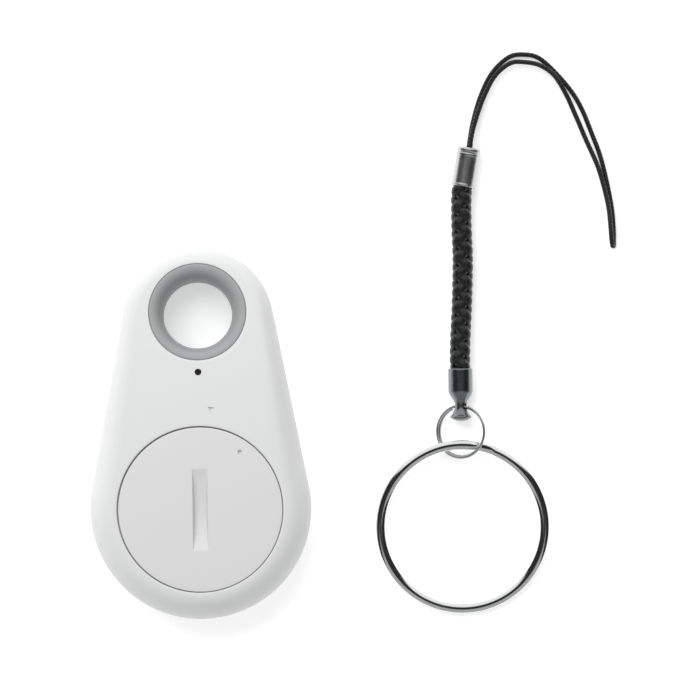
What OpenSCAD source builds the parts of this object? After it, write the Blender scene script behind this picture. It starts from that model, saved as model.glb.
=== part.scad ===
// Bluetooth tracker tag with a bayonet battery door, a lined strap hole and its carrying strap.
// The tag lies front face down on z = 0, battery door up, narrow end towards +Y.
// The strap lies beside it: loop cord, crimp ferrule, braid, end cap, link ring and key ring.

/* [Case] */
// Overall length of the case
case_len = 52.4; // [50:0.2:64]
// Width of the narrow end
neck_w = 21.4; // [20.4:0.2:26]
// Rim between the door and the outline of the wide end
rim_w = 3.9; // [3.7:0.1:6]
// Wall of both shells
wall = 1.2; // [1:0.1:1.4]
// Radius of the domed back
dome_r = 200; // [180:10:400]
// Room between the front wall and the board
under_board = 3.2; // [3:0.1:4.5]
// Gap between pieces that only touch or slide
slip = 0.05; // [0.03:0.01:0.08]

/* [Battery door] */
// Radial gap round the door
door_gap = 0.15; // [0.1:0.05:0.3]
// Thickness of the door at its middle
door_t = 1.6; // [1.5:0.1:2.4]
// Width of the coin slot
slot_w = 2.1; // [1.6:0.1:2.6]
// Length of the coin slot
slot_len = 11.9; // [9:0.1:15]
// Depth of the coin slot
slot_depth = 1; // [0.6:0.1:1.1]
// Angle that unlocks the door
door_turn = 30; // [20:5:40]

/* [Coin cell] */
// Diameter of the coin cell
cell_d = 20; // [16:0.5:24.5]
// Thickness of the coin cell
cell_t = 3.2; // [2.5:0.1:4]

/* [Strap hole] */
// Diameter of the liner's outer edge
liner_d = 13.7; // [11:0.1:14]
// Diameter of the throat
throat_d = 9.7; // [7:0.1:10]
// Distance from the narrow end to the middle of the hole
hole_in = 9; // [8.9:0.1:11]

/* [Electronics] */
// Thickness of the circuit board
board_t = 0.8; // [0.6:0.1:1.2]
// Side of the square buzzer
buzzer_w = 6.8; // [5.5:0.1:7]
// Diameter of the sound port
port_d = 0.95; // [0.8:0.05:1.2]
// Diameter of the front button
button_d = 12; // [9:0.5:16]
// Travel of the front button
button_travel = 0.25; // [0.2:0.05:0.3]

/* [Strap] */
// Diameter of the braided cord
braid_d = 3.2; // [2.8:0.1:3.3]
// Diameter of the loop cord
loop_d = 0.72; // [0.6:0.02:0.74]
// Outer diameter of the key ring
key_ring_d = 24.6; // [24:0.2:30]
// Width of the key ring's flat wire
key_wire_w = 1.3; // [1.1:0.05:1.35]
// Thickness of one turn of the key ring
key_wire_t = 0.58; // [0.4:0.02:0.6]
// Mean diameter of the link ring
link_d = 7.1; // [7.1:0.1:8]
// Diameter of the link ring's wire
link_wire_d = 0.7; // [0.5:0.05:0.72]

/* [Hidden] */
$fn = 96;

// Cell bay, from the cell outwards
cell_r = cell_d / 2;
cell_room = 0.25;
skirt_w = 0.65;
skirt_r = cell_r + cell_room + skirt_w;
ledge_r = skirt_r + 0.1;
ledge_w = 0.7;
door_r = ledge_r + ledge_w - door_gap;
lug_r = door_r - 0.05;
lug_angle = 24;
lug_turn = -50;
bay_r = door_r + door_gap + 0.3;
bay_wall = 0.8;

// Heights, from the front face up
spring_room = 0.9;
door_lift = 0.1;
board_z = wall + under_board;
board_top = board_z + board_t;
cell_z = board_top + spring_room;
cell_top = cell_z + cell_t;
case_t = cell_top + door_lift + door_t;
split_z = board_top;
door_under = case_t - door_t;
ledge_top = door_under + 0.35;
ledge_t = 0.65;
lug_t = 0.6;
lug_z = ledge_top - ledge_t - slip - lug_t;

// Outline: two round ends joined by straight flanks
body_r = door_r + door_gap + rim_w;
neck_r = neck_w / 2;
body_y = body_r - case_len / 2;
neck_y = case_len / 2 - neck_r;
lean = asin((body_r - neck_r) / (neck_y - body_y));
side_steps = 6;

// Rounded edges, as insets at the narrow end and at the wide end
front_edge = [3, 4.4];
back_edge = [2, 3.6];
edge_steps = 6;

// Strap hole, square to the domed back
hole_y = case_len / 2 - hole_in;
hole_tilt = asin((hole_y - body_y) / dome_r);
hole_z = case_t - pow(hole_y - body_y, 2) / (2 * dome_r);
liner_r = liner_d / 2;
flange_t = 0.8;
flange_sink = pow(liner_r, 2) / (2 * dome_r) + 0.03;
throat_r = throat_d / 2;
liner_tube_r = throat_r + 0.575 * (liner_r - throat_r);
flare_w = 0.52 * (liner_tube_r - throat_r);
throat_t = 2.8;
throat_len = 2;

// Electronics
board_r = body_r - wall - 1;
buzzer_t = 2.4;
buzzer_y = body_y + bay_r + bay_wall + 0.15 + buzzer_w / 2;
port_y = buzzer_y + buzzer_w / 2 - 0.45;
board_end = buzzer_y + buzzer_w / 2 + 0.1;
board_half = 9;
screw_x = 7;
screw_y = buzzer_y - 0.5;
screw_r = 0.7;
peg_y = body_y - board_r + 0.9;
button_r = button_d / 2;
switch_t = 1.5;
switch_w = 5.2;
plunger_r = 1;
plunger_out = button_travel + 0.15;
pipe_y = body_y + bay_r + 1.5;
pipe_r = 0.6;
mesh_z = dome_z(port_y) - 0.7;

// Strap, all resting on z = 0
ferrule_r = 1.7;
ferrule_low = [37.8, 34.4];
ferrule_high = [38.8, 39.9];
ferrule_turn = atan((ferrule_high[0] - ferrule_low[0]) / (ferrule_high[1] - ferrule_low[1]));
ferrule_len = norm(ferrule_high - ferrule_low);
ferrule_dir = [sin(ferrule_turn), cos(ferrule_turn), 0];
cap_r = 1.72;
cap_mouth_y = 8.6;
eye = [37, 3.2, 1.95];
eye_r = 0.5;
link_tilt = 26.5;
link_r = link_d / 2;
key_r = key_ring_d / 2 - key_wire_w / 2;
key_cross_y = -2.5;
key_tilt = 3.2;
key_chord = 2.6;

// The loop leaves the ferrule, folds back on itself at its tip and returns to the ferrule
loop_route = [
    [38.7, 39.9, 1.35], [38.9, 41.2, 1.3], [39.35, 43.5, 0.95], [40.5, 47.2, 0.5],
    [42.2, 50.5, 0.4], [44.6, 52.7, 0.4], [46.8, 53.1, 0.4], [48.9, 52.5, 0.4],
    [51.3, 50.3, 0.4], [53.6, 47.8, 0.4], [55.2, 45.1, 0.4], [56.6, 41.9, 0.4],
    [57.6, 38.4, 0.4], [58.4, 34.5, 0.4], [58.9, 31, 0.4], [59.1, 28.2, 0.42],
    [59.1, 26.6, 0.6], [59.1, 25.8, 1.1], [59, 25.6, 1.7], [58.9, 25.9, 2.2],
    [58.8, 26.8, 2.5], [58.7, 28.4, 2.4], [58.5, 31, 1.8], [58, 33.8, 1.25],
    [56.9, 37.1, 0.9], [55.3, 40.6, 0.5], [54, 44.2, 0.45], [52.7, 47.3, 0.6],
    [51.1, 50, 1.2], [49, 51.5, 1.15], [46.8, 52, 0.9], [44.9, 51.7, 0.9],
    [42.8, 49.8, 1], [41.1, 46.7, 1.2], [39.8, 43.3, 1.7], [39.1, 41.2, 2.05],
    [38.9, 39.9, 2.1]];
braid_route = [
    [37.8, 34.4, 1.7], [37.55, 33, 1.7], [37.5, 29, 1.65], [37.6, 24, 1.65],
    [37.4, 18, 1.65], [37.1, 13, 1.78], [37, 10.5, 1.92], [37, 8.6, 1.95]];

// Height of the domed back on the centre line
function dome_z(y) = case_t - pow(y - body_y, 2) / (2 * dome_r);

function spread(a, b, n) = [for (i = [0:n]) a + (b - a) * i / n];
function flank(p, q) = [for (i = [1:side_steps - 1]) p + (q - p) * i / side_steps];

// Outline inset by one amount at the narrow end and another at the wide end
function outline(inset) =
    let (neck = [for (a = spread(lean, 180 - lean, 14))
                 [0, neck_y] + (neck_r - inset[0]) * [cos(a), sin(a)]],
         body = [for (a = spread(180 - lean, 360 + lean, 18))
                 [0, body_y] + (body_r - inset[1]) * [cos(a), sin(a)]])
    concat(neck, flank(neck[14], body[0]), body, flank(body[18], neck[0]));

function face_z(p, front, skin) =
    front ? skin : case_t - skin - (pow(p[0], 2) + pow(p[1] - body_y, 2)) / (2 * dome_r);

// Half of the case's form, shrunk by a skin, from the split to the front or to the back.
// A reach carries it past the split.
module case_half(front, skin, reach) {
    edge = front ? front_edge : back_edge;
    rim = outline([skin, skin]);
    n = len(rim);
    rings = concat(
        reach > 0 ? [[for (p = rim) [p[0], p[1], split_z + (front ? reach : -reach)]]] : [],
        [for (k = [0:edge_steps])
            let (a = 90 * k / edge_steps)
            [for (p = outline([skin, skin] + edge * (1 - skin / 6) * (1 - cos(a))))
                [p[0], p[1], split_z + (face_z(p, front, skin) - split_z) * sin(a)]]],
        front ? [] : [for (k = [1:3])
            [for (p = outline([skin, skin] + edge * (1 - skin / 6)
                              + [1, 1] * (neck_r - back_edge[0] - skin - 1) * k / 3))
                [p[0], p[1], face_z(p, front, skin)]]]);
    flat = [for (ring = rings) each ring];
    last = len(rings) - 1;
    middle = [0, neck_y - 9, face_z([0, neck_y - 9], front, skin)];
    function turn(f) = front ? f : [for (i = [len(f) - 1:-1:0]) f[i]];
    walls = [for (k = [0:last - 1], i = [0:n - 1])
             let (a = k * n + i, b = k * n + (i + 1) % n)
             each [[a, b, b + n], [a, b + n, a + n]]];
    fan = [for (i = [0:n - 1]) [last * n + i, last * n + (i + 1) % n, len(flat)]];
    lid = [[for (i = [n - 1:-1:0]) i]];
    polyhedron(points = concat(flat, [middle]),
               faces = [for (f = concat(walls, fan, lid)) turn(f)], convexity = 6);
}

// Places a shape that is turned about the strap hole's own axis, from the back surface down
module on_hole() {
    translate([0, hole_y, hole_z]) rotate([-hole_tilt, 0, 0]) mirror([0, 0, 1]) children();
}

module ring(r_out, r_in, h) {
    difference() {
        cylinder(r = r_out, h = h);
        translate([0, 0, -1]) cylinder(r = r_in, h = h + 2);
    }
}

// Part of a ring between two angles
module ring_part(r_out, r_in, h, angle) {
    rotate_extrude(angle = angle) translate([r_in, 0]) square([r_out - r_in, h]);
}

module front_shell() {
    color("whitesmoke") difference() {
        union() {
            difference() {
                case_half(true, 0, 0);
                case_half(true, wall, 1);
                translate([0, 0, split_z - 0.65]) linear_extrude(2) polygon(outline([0.6, 0.6]));
            }
            translate([0, hole_y - 1, wall / 2]) cylinder(r = liner_tube_r + 1.5, h = board_z - wall);
            for (x = [-screw_x, screw_x])
                translate([x, screw_y, wall / 2]) cylinder(r = 1.6, h = board_z - wall / 2, $fn = 48);
            translate([0, peg_y, wall / 2]) cylinder(r = 1, h = board_z - wall / 2, $fn = 48);
            translate([0, peg_y, board_z - 0.5]) cylinder(r = 0.5, h = 0.5 + board_t, $fn = 32);
        }
        translate([0, body_y, -1]) cylinder(r = button_r, h = wall + 2);
        on_hole() cylinder(r = liner_tube_r + slip, h = 30);
        for (x = [-screw_x, screw_x])
            translate([x, screw_y, wall + 0.4]) cylinder(r = screw_r, h = board_z, $fn = 32);
        translate([0, pipe_y, -1]) cylinder(r = pipe_r + slip, h = wall + 2, $fn = 48);
    }
}

module rear_shell() {
    color("whitesmoke") difference() {
        union() {
            difference() {
                case_half(false, 0, 0);
                case_half(false, wall, 1);
            }
            translate([0, 0, split_z - 0.6]) linear_extrude(1.2) difference() {
                polygon(outline([0.65, 0.65]));
                polygon(outline([wall + slip, wall + slip]));
            }
            translate([0, body_y, board_top + 0.1])
                ring(bay_r + bay_wall, bay_r, ledge_top - board_top - 0.1);
            translate([0, body_y, ledge_top - ledge_t]) ring(bay_r + 0.2, ledge_r, ledge_t);
            on_hole() translate([0, 0, flange_t]) cylinder(r = liner_r + 0.65, h = 1.8);
            translate([0, port_y, board_top + buzzer_t + 0.1])
                cylinder(r = 1.5, h = mesh_z - board_top - buzzer_t, $fn = 48);
        }
        translate([0, body_y, ledge_top]) cylinder(r = door_r + door_gap, h = 5);
        translate([0, body_y, ledge_top - 2]) cylinder(r = ledge_r, h = 5);
        for (k = [0:2])
            translate([0, body_y, ledge_top - 2])
                rotate([0, 0, 120 * k + lug_turn + door_turn - lug_angle / 2 - 2])
                    ring_part(lug_r + 0.15, ledge_r - 0.5, 2.5, lug_angle + 4);
        on_hole() translate([0, 0, -2]) cylinder(r = liner_r + slip, h = flange_t + 2);
        on_hole() cylinder(r = liner_tube_r + slip, h = 5);
        translate([0, port_y, 0]) cylinder(r = port_d / 2, h = 20, $fn = 48);
        translate([0, port_y, 0]) cylinder(r = 0.85, h = mesh_z, $fn = 48);
        translate([0, body_y, 0]) rotate([0, 0, -7])
            translate([0, door_r + 2.6, dome_z(body_y + door_r + 2.6) - 0.3])
                linear_extrude(2) polygon([[-0.45, 0.3], [0.45, 0.3], [0, -0.45]]);
    }
}

// Bayonet door: domed plate, skirt and three lugs, with a coin slot across the top
module battery_door() {
    dome = [for (i = [0:8]) let (r = (door_r - 0.15) * i / 8) [r, case_t - r * r / (2 * dome_r)]];
    edge_z = case_t - door_r * door_r / (2 * dome_r);
    coin_r = (pow(slot_len / 2, 2) + pow(slot_depth, 2)) / (2 * slot_depth);
    color("gainsboro") translate([0, body_y, 0]) difference() {
        union() {
            rotate_extrude() polygon(concat(dome,
                [[door_r, edge_z - 0.15], [door_r, ledge_top + slip], [skirt_r, ledge_top + slip],
                 [skirt_r, lug_z], [skirt_r - skirt_w, lug_z], [skirt_r - skirt_w, door_under],
                 [0, door_under]]));
            for (k = [0:2])
                rotate([0, 0, 120 * k + lug_turn - lug_angle / 2]) translate([0, 0, lug_z])
                    ring_part(lug_r, skirt_r - 0.3, lug_t, lug_angle);
        }
        translate([-slot_w / 2, 0, case_t + coin_r - slot_depth]) rotate([0, 90, 0])
            cylinder(r = coin_r, h = slot_w, $fn = 180);
        rotate([0, 0, -35]) translate([0, door_r - 1.7, case_t - 0.35]) cylinder(r = 0.28, h = 2, $fn = 32);
    }
}

// Funnel at the back, straight throat, flare at the front
module hole_liner() {
    mouth_r = liner_r - 0.125 * (liner_r - throat_r);
    end_t = hole_z / cos(hole_tilt) + 2;
    funnel = [for (i = [0:10])
              [throat_r + (mouth_r - throat_r) * (1 - cos(9 * i)), throat_t * (1 - sin(9 * i))]];
    color("darkgray") intersection() {
        on_hole() translate([0, 0, flange_sink]) rotate_extrude() polygon(concat(
            [[liner_tube_r - flare_w / 4, end_t], [throat_r + flare_w, hole_z - 1.2],
             [throat_r, throat_t + throat_len]],
            funnel,
            [[liner_r, 0.12], [liner_r, flange_t - slip - flange_sink],
             [liner_tube_r, flange_t - slip - flange_sink], [liner_tube_r, end_t]]));
        translate([-20, hole_y - 20, 0.1]) cube([40, 40, case_t]);
    }
}

module sound_mesh() {
    color("silver") translate([0, port_y, mesh_z - 0.15]) cylinder(r = 0.8, h = 0.15, $fn = 48);
}

module button_cap() {
    color("whitesmoke") translate([0, body_y, 0]) {
        translate([0, 0, 0.15]) cylinder(r = button_r - 0.08, h = wall);
        translate([0, 0, wall + 0.05]) cylinder(r = button_r + 0.8, h = 0.5);
        translate([0, 0, wall + 0.4])
            cylinder(r = 1.3, h = board_z - switch_t - plunger_out - wall - 0.4 - slip, $fn = 48);
    }
}

module button_plunger() {
    color("black") translate([0, body_y, board_z - switch_t - plunger_out])
        cylinder(r = plunger_r, h = plunger_out + 0.5, $fn = 48);
}

module tact_switch() {
    color("dimgray") translate([0, body_y, board_z - switch_t]) difference() {
        translate([-switch_w / 2, -switch_w / 2, 0]) cube([switch_w, switch_w, switch_t]);
        translate([0, 0, -1]) cylinder(r = plunger_r + slip, h = 1.7 + button_travel, $fn = 48);
    }
}

module circuit_board() {
    color("darkgreen") difference() {
        translate([0, 0, board_z]) union() {
            translate([0, body_y, 0]) cylinder(r = board_r, h = board_t);
            translate([-board_half, body_y, 0]) cube([2 * board_half, board_end - body_y, board_t]);
        }
        for (x = [-screw_x, screw_x])
            translate([x, screw_y, board_z - 1]) cylinder(r = screw_r + slip, h = 3, $fn = 32);
        translate([0, peg_y, board_z - 1]) cylinder(r = 0.5 + slip, h = 3, $fn = 32);
    }
}

// A block soldered under the board, or on top of it
module under(x, y, size) {
    translate([x - size[0] / 2, y - size[1] / 2, board_z - size[2]]) cube(size);
}
module upon(x, y, size) {
    translate([x - size[0] / 2, y - size[1] / 2, board_top]) cube(size);
}

module bluetooth_chip() { color("black") under(-5.5, body_y + 11, [5, 5, 0.85]); }
module crystal() { color("silver") under(-9, body_y + 6.5, [2.5, 2, 0.6]); }
module chip_antenna() { color("ivory") upon(7, board_end - 0.9, [3.2, 1.6, 1.2]); }
module chip_parts() {
    color("tan") for (i = [0:3]) {
        under(5 + 1.6 * i, body_y + 9, [0.5, 1, 0.5]);
        under(5 + 1.6 * i, body_y + 11, [0.5, 1, 0.5]);
    }
}
module led() { color("lightyellow") under(0, pipe_y, [1.6, 0.8, 0.5]); }

module light_pipe() {
    color("white", 0.6) translate([0, pipe_y, 0]) {
        translate([0, 0, slip]) cylinder(r = pipe_r, h = board_z - 0.6 - slip, $fn = 48);
        translate([0, 0, wall + slip]) cylinder(r = 1, h = 0.5, $fn = 48);
    }
}

module buzzer() {
    color("dimgray") difference() {
        upon(0, buzzer_y, [buzzer_w, buzzer_w, buzzer_t]);
        translate([0, port_y, board_top + 0.8]) cylinder(r = 0.4, h = 4, $fn = 32);
    }
}

// Ring on the board that centres the cell, open at the contact
module cell_holder() {
    color("dimgray") translate([0, body_y, board_top]) difference() {
        ring(lug_r - 0.1, cell_r + cell_room, lug_z - board_top - 0.2);
        translate([-2, 0, -1]) cube([4, lug_r + 1, 10]);
    }
}

module positive_contact() {
    color("gold") translate([0, body_y + cell_r, board_top]) {
        translate([-1.5, 0.3, 0]) cube([3, 1.4, 0.2]);
        translate([-1.5, 0.3, 0]) cube([3, 0.25, 3]);
        translate([0, 0.45, 2.2]) rotate([90, 0, 0]) cylinder(r = 0.6, h = 0.43, $fn = 32);
    }
}

module negative_contact() {
    color("gold") translate([0, body_y, board_top]) {
        translate([-3, -1.5, 0]) cube([6, 3, 0.2]);
        for (a = [0, 180])
            rotate([0, 0, a]) translate([2.6, -1.2, 0]) rotate([0, -14, 0]) cube([3, 2.4, 0.18]);
    }
}

module cell_can() {
    color("silver") translate([0, body_y, cell_z]) rotate_extrude()
        polygon([[0, cell_t], [cell_r - 0.3, cell_t], [cell_r, cell_t - 0.3], [cell_r, 0.5],
                 [cell_r - 0.25, 0.25], [cell_r - 0.6, 0.25], [cell_r - 0.6, 0.45],
                 [cell_r - 0.25, 0.5], [cell_r - 0.25, cell_t - 0.25], [0, cell_t - 0.25]]);
}

module cell_gasket() {
    color("black") translate([0, body_y, cell_z + 0.5]) ring(cell_r - 0.28, cell_r - 0.6, cell_t - 0.8);
}

// Cap with the electrode stack behind it
module cell_cap() {
    color("gainsboro") translate([0, body_y, cell_z]) {
        cylinder(r = cell_r - 1.2, h = 0.5);
        translate([0, 0, 0.4]) cylinder(r = cell_r - 0.65, h = cell_t - 0.7);
    }
}

module case_screws() {
    color("silver") for (x = [-screw_x, screw_x]) translate([x, screw_y, 0]) difference() {
        union() {
            translate([0, 0, wall + 0.6])
                cylinder(r = screw_r - 0.01, h = board_top - wall - 0.5, $fn = 32);
            translate([0, 0, board_top]) cylinder(r = 1.3, h = 0.8, $fn = 48);
        }
        for (a = [0, 90])
            translate([0, 0, board_top + 0.65]) rotate([0, 0, a]) cube([1.5, 0.3, 0.7], center = true);
    }
}

function unit(v) = v / norm(v);

// Point of a smooth curve through p1 and p2, with p0 and p3 before and after
function on_curve(p0, p1, p2, p3, t) =
    0.5 * (2 * p1 + (p2 - p0) * t + (2 * p0 - 5 * p1 + 4 * p2 - p3) * t * t
           + (3 * p1 - p0 - 3 * p2 + p3) * t * t * t);
function smooth_route(r, steps) =
    let (n = len(r) - 1)
    concat([for (i = [0:n - 1], k = [0:steps - 1])
            on_curve(r[max(i - 1, 0)], r[i], r[i + 1], r[min(i + 2, n)], k / steps)], [r[n]]);

// Side directions carried along a list of tangents without twisting
function carried(tangents, side, i) =
    i == len(tangents) ? [] :
    let (s = unit(side - (side * tangents[i]) * tangents[i]))
    concat([s], carried(tangents, s, i + 1));

// Plain tube along a route, square to the given directions at its two ends
module cord(route, d, steps, first_dir, last_dir) {
    sides = 8;
    path = smooth_route(route, steps);
    n = len(path);
    tangents = [for (i = [0:n - 1])
                i == 0 ? first_dir : i == n - 1 ? last_dir : unit(path[i + 1] - path[i - 1])];
    normals = carried(tangents, [0, 0, 1], 0);
    points = [for (i = [0:n - 1], k = [0:sides - 1])
              path[i] + d / 2 * (cos(360 * k / sides) * normals[i]
                                 + sin(360 * k / sides) * cross(tangents[i], normals[i]))];
    walls = [for (i = [0:n - 2], k = [0:sides - 1])
             let (a = i * sides + k, b = i * sides + (k + 1) % sides)
             each [[a, b + sides, b], [a, a + sides, b + sides]]];
    ends = [[for (k = [0:sides - 1]) k], [for (k = [sides - 1:-1:0]) (n - 1) * sides + k]];
    polyhedron(points = points, faces = concat(walls, ends), convexity = 10);
}

module loop_cord() {
    color([0.16, 0.17, 0.18]) cord(loop_route, loop_d, 2, ferrule_dir, -ferrule_dir);
}

module braided_cord() {
    color([0.18, 0.19, 0.2]) cord(braid_route, braid_d, 1, -ferrule_dir, [0, -1, 0]);
}

// Crimped sleeve with a bead at each end
module ferrule() {
    bead = 0.25;
    color("silver") translate([ferrule_low[0], ferrule_low[1], ferrule_r])
        rotate([0, 0, -ferrule_turn]) rotate([-90, 0, 0]) rotate_extrude()
            polygon([[0, 0], [ferrule_r - 0.12, 0], [ferrule_r, bead / 2], [ferrule_r - 0.12, bead],
                     [ferrule_r - 0.12, ferrule_len - bead], [ferrule_r, ferrule_len - bead / 2],
                     [ferrule_r - 0.12, ferrule_len], [0, ferrule_len]]);
}

// Turned end cap, from the cup's mouth to the bell foot, drilled across the waist for the link ring
module end_cap() {
    color("slategray") translate([eye[0], cap_mouth_y, eye[2]]) rotate([90, 0, 0]) difference() {
        rotate_extrude() polygon([
            [0, 0], [cap_r - 0.1, 0], [cap_r, 0.1], [cap_r, 3.3], [1.3, 4.1], [0.95, 4.6], [0.83, 5.1],
            [0.84, 5.6], [0.95, 6], [1.2, 6.5], [1.42, 6.7], [1.5, 6.85], [1.42, 7], [1.05, 7.25],
            [0.55, 7.4], [0, 7.45]]);
        translate([0, 0, cap_mouth_y - eye[1]]) rotate([0, 90, link_tilt])
            cylinder(r = eye_r, h = 6, center = true, $fn = 48);
    }
}

module link_ring() {
    color("silver") translate(eye) rotate([0, -link_tilt, 0]) translate([0, -link_r, 0])
        rotate_extrude() translate([link_r, 0]) circle(r = link_wire_d / 2, $fn = 32);
}

// Two flat turns of the split key ring, pressed together
module key_ring() {
    round_r = key_wire_t / 2;
    half = key_wire_w / 2 - round_r;
    color("silver") translate([eye[0], key_cross_y, eye[2]]) rotate([key_tilt, 0, 0])
        translate([0, key_chord * key_chord / (2 * key_r) - key_r, 0])
            rotate_extrude($fn = 144) translate([key_r, 0])
                for (z = [-round_r, round_r]) translate([0, z]) {
                    square([2 * half, key_wire_t], center = true);
                    for (x = [-half, half]) translate([x, 0]) circle(r = round_r, $fn = 32);
                }
}

front_shell();
rear_shell();
battery_door();
hole_liner();
sound_mesh();
button_cap();
button_plunger();
tact_switch();
circuit_board();
bluetooth_chip();
crystal();
chip_antenna();
chip_parts();
led();
light_pipe();
buzzer();
cell_holder();
positive_contact();
negative_contact();
cell_can();
cell_gasket();
cell_cap();
case_screws();
loop_cord();
ferrule();
braided_cord();
end_cap();
link_ring();
key_ring();
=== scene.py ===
"""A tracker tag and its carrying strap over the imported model.

Lengths are in millimetres until they are meshed."""

import math

import bmesh
import bpy
import numpy as np
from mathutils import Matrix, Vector


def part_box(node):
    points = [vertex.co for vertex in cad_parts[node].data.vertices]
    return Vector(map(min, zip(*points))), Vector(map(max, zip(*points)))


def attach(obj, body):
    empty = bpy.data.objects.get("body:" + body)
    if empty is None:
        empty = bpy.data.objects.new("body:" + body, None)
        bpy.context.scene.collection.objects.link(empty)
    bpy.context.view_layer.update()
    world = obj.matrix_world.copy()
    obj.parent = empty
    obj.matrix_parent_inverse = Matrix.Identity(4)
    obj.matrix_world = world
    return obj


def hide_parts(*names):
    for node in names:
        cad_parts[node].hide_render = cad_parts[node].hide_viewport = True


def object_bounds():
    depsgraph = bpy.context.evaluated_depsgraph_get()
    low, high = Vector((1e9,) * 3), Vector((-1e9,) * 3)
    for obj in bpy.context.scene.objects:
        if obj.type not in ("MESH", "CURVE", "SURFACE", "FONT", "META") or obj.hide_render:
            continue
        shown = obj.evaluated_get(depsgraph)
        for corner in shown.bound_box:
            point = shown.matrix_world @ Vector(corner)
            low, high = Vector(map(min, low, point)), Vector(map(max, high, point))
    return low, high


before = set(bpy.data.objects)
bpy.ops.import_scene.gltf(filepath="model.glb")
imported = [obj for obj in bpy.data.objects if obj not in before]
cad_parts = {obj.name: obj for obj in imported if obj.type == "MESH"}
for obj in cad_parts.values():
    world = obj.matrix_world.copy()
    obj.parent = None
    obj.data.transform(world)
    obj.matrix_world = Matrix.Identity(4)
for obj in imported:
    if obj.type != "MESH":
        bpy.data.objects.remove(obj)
cad_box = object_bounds()

# ---- Table, lamps and camera ----------------------------------------------------------------
# A matt white light table in an even tent, with one large soft box at its far left. What metal
# mirrors is white beyond the table, grey before it, and dark to both sides and overhead.

MM = 0.001


class Wire:
    """A socket in a node tree. Sums on it add Math nodes, and node() adds any other kind."""

    def __init__(self, tree, socket=None):
        self.tree, self.socket = tree, socket

    def node(self, kind, settings=None, sockets=None, out=0):
        made = self.tree.nodes.new(kind)
        for name, value in (settings or {}).items():
            setattr(made, name, value)
        for name, value in (sockets or {}).items():
            if isinstance(value, Wire):
                self.tree.links.new(value.socket, made.inputs[name])
            else:
                made.inputs[name].default_value = value
        return Wire(self.tree, made.outputs[out] if len(made.outputs) else None)

    def beside(self, out):
        """Another output of the node that this one comes from."""
        return Wire(self.tree, self.socket.node.outputs[out])

    def math(self, operation, *values):
        return self.node("ShaderNodeMath", {"operation": operation}, dict(enumerate(values)))

    def __add__(self, other):
        return self.math("ADD", self, other)

    def __radd__(self, other):
        return self.math("ADD", other, self)

    def __sub__(self, other):
        return self.math("SUBTRACT", self, other)

    def __rsub__(self, other):
        return self.math("SUBTRACT", other, self)

    def __mul__(self, other):
        return self.math("MULTIPLY", self, other)

    def __rmul__(self, other):
        return self.math("MULTIPLY", other, self)

    def __truediv__(self, other):
        return self.math("DIVIDE", self, other)

    def __rtruediv__(self, other):
        return self.math("DIVIDE", other, self)

    def tone(self, low, high):
        """A colour from low, where this is 0, to high, where it is 1."""
        return self.node("ShaderNodeMix", {"data_type": "RGBA"}, {0: self, 6: low, 7: high}, out=2)

    def cloud(self, scale, detail=2):
        """Soft noise over this place, with scale patches to the metre."""
        return self.node("ShaderNodeTexNoise", None, {"Vector": self, "Scale": scale, "Detail": detail})

    def between(self, low, high):
        """Rises smoothly from 0 at low to 1 at high."""
        return self.node("ShaderNodeMapRange", {"interpolation_type": "SMOOTHSTEP"},
                         {"Value": self, "From Min": low, "From Max": high})

    def bump(self, depth):
        """A surface normal that treats this as relief of that depth in millimetres."""
        return self.node("ShaderNodeBump", None, {"Height": self, "Distance": depth * MM})


def new_finish(name):
    """A material with an empty node tree, and a wire that holds its object coordinates."""
    material = bpy.data.materials.new(name)
    material.use_nodes = True
    material.node_tree.nodes.clear()
    return material, Wire(material.node_tree).node("ShaderNodeTexCoord", out="Object")


def seal(place, **sockets):
    """Ends a finish in one principled surface; the keywords are its socket names."""
    values = {name.replace("_", " "): value for name, value in sockets.items()}
    surface = place.node("ShaderNodeBsdfPrincipled", None, values)
    surface.node("ShaderNodeOutputMaterial", None, {"Surface": surface})


def placed(name, mesh):
    """An object in the scene for a mesh, curve, lamp or camera."""
    piece = bpy.data.objects.new(name, mesh)
    bpy.context.scene.collection.objects.link(piece)
    return piece


table_paint, spot = new_finish("table_paint")
seal(spot, Base_Color=spot.cloud(40).tone((0.91, 0.91, 0.91, 1), (0.93, 0.93, 0.93, 1)), Roughness=0.7,
     Emission_Color=(1, 1, 1, 1), Emission_Strength=0.38)
table_half, table_z = 1500, -0.02
table_mesh = bpy.data.meshes.new("table")
table_mesh.from_pydata([(x * table_half * MM, y * table_half * MM, table_z * MM)
                        for x, y in ((-1, -1), (1, -1), (1, 1), (-1, 1))], [], [(0, 1, 2, 3)])
table_mesh.materials.append(table_paint)
table = placed("table", table_mesh)

camera_rise, camera_roll = 900, -0.88
picture_width = 99.05
aim_shift, aim_z = (-0.52, -2.16), 4
middle = (cad_box[0] + cad_box[1]) / 2 / MM
aim = Vector((middle.x + aim_shift[0], middle.y + aim_shift[1], aim_z))
camera = placed("camera", bpy.data.cameras.new("camera"))
camera.data.lens = camera.data.sensor_width * camera_rise / picture_width
camera.data.clip_end = 10
camera.location = (aim + Vector((0, 0, camera_rise))) * MM
camera.rotation_euler = (0, 0, math.radians(camera_roll))
bpy.context.scene.camera = camera
bpy.context.scene.view_settings.view_transform = "Standard"

# The soft box faces the aim from a compass heading (0 is +X) and a rise above the table
key_heading, key_rise = math.radians(116), math.radians(50)
key_away, key_size, key_watts = 700, 560, 3.5
key_back = Vector((math.cos(key_heading) * math.cos(key_rise),
                   math.sin(key_heading) * math.cos(key_rise), math.sin(key_rise)))
key_box = placed("key_box", bpy.data.lights.new("key_box", "AREA"))
key_box.data.energy, key_box.data.size = key_watts, key_size * MM
key_box.visible_glossy = False
key_box.location = (aim + key_back * key_away) * MM
key_box.rotation_euler = key_back.to_track_quat("Z", "Y").to_euler()

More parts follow.
